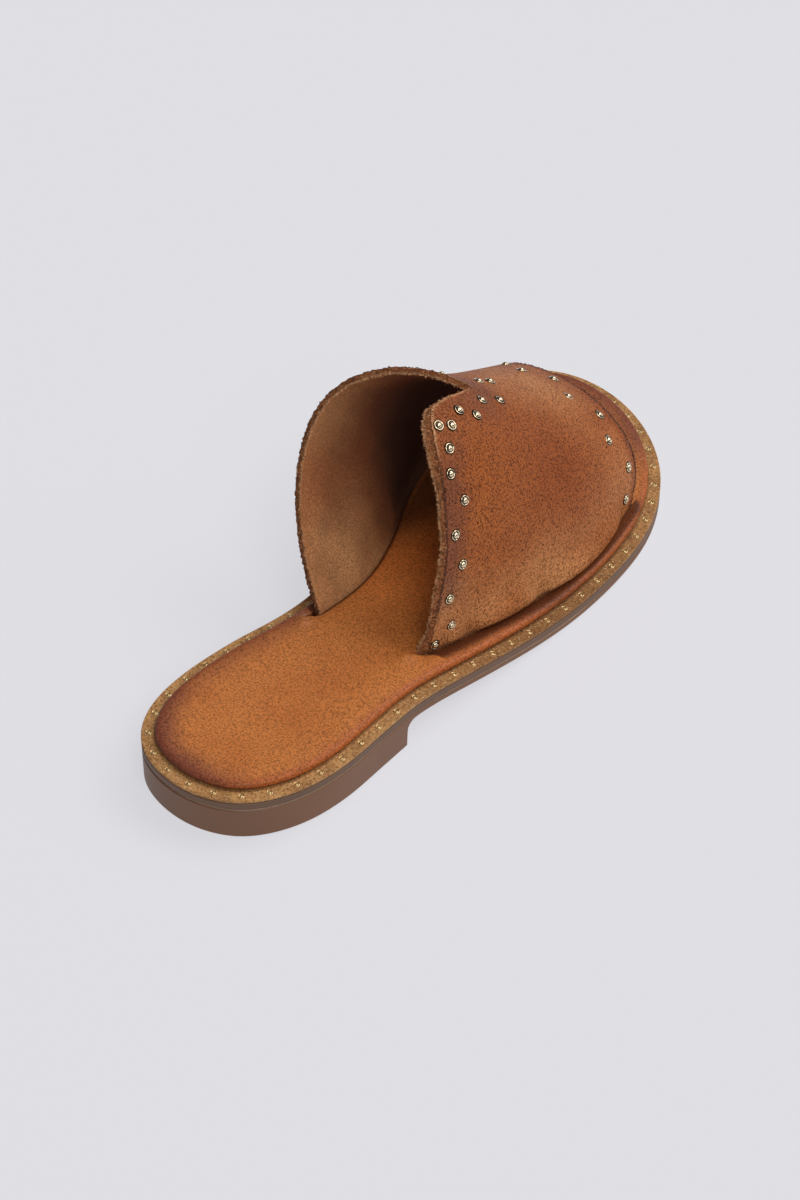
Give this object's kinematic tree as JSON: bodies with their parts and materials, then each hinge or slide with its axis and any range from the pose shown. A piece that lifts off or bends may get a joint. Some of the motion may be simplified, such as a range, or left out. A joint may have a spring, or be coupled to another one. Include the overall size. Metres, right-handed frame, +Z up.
{
  "type": "studded leather sandal",
  "caption": "Right-foot leather slide sandal: a notched wrap-over upper with domed studs along its cut edges, a padded insole, a flat welt and a low stacked heel.",
  "frame": {"origin": "centre of the sole's plan box, on the floor", "axes": "+Y from heel to toe, +Z up, +X to the outer (lateral) side of a right foot"},
  "size_m": [0.0982, 0.2512, 0.0879],
  "materials": {
    "outsole": "satin brown rubber heel and sole",
    "midsole": "grey-brown burnished leather board edge",
    "welt": "golden tan speckled strip",
    "insole": "orange-tan grained leather, dark burnished rim",
    "upper": "tan pebbled leather, suede inside, raw cut edges",
    "stud": "polished pale gold"
  },
  "bodies": {
    "root": {"outsole": "outsole", "midsole": "midsole", "welt": "welt", "insole": "insole", "upper": "upper", "stud_throat_01": "stud", "stud_throat_02": "stud", "stud_throat_03": "stud", "stud_throat_04": "stud", "stud_throat_05": "stud", "stud_throat_06": "stud", "stud_throat_07": "stud", "stud_throat_08": "stud", "stud_throat_09": "stud", "stud_throat_10": "stud", "stud_throat_11": "stud", "stud_throat_12": "stud", "stud_throat_13": "stud", "stud_throat_14": "stud", "stud_throat_15": "stud", "stud_throat_16": "stud", "stud_throat_17": "stud", "stud_throat_18": "stud", "stud_throat_19": "stud", "stud_throat_20": "stud", "stud_throat_21": "stud", "stud_throat_22": "stud", "stud_throat_23": "stud", "stud_throat_24": "stud", "stud_throat_25": "stud", "stud_throat_26": "stud", "stud_throat_27": "stud", "stud_throat_28": "stud", "stud_toe_01": "stud", "stud_toe_02": "stud", "stud_toe_03": "stud", "stud_toe_04": "stud", "stud_toe_05": "stud", "stud_toe_06": "stud", "stud_toe_07": "stud", "stud_toe_08": "stud", "stud_toe_09": "stud", "stud_toe_10": "stud", "stud_toe_11": "stud", "stud_toe_12": "stud"}
  },
  "joints": []
}
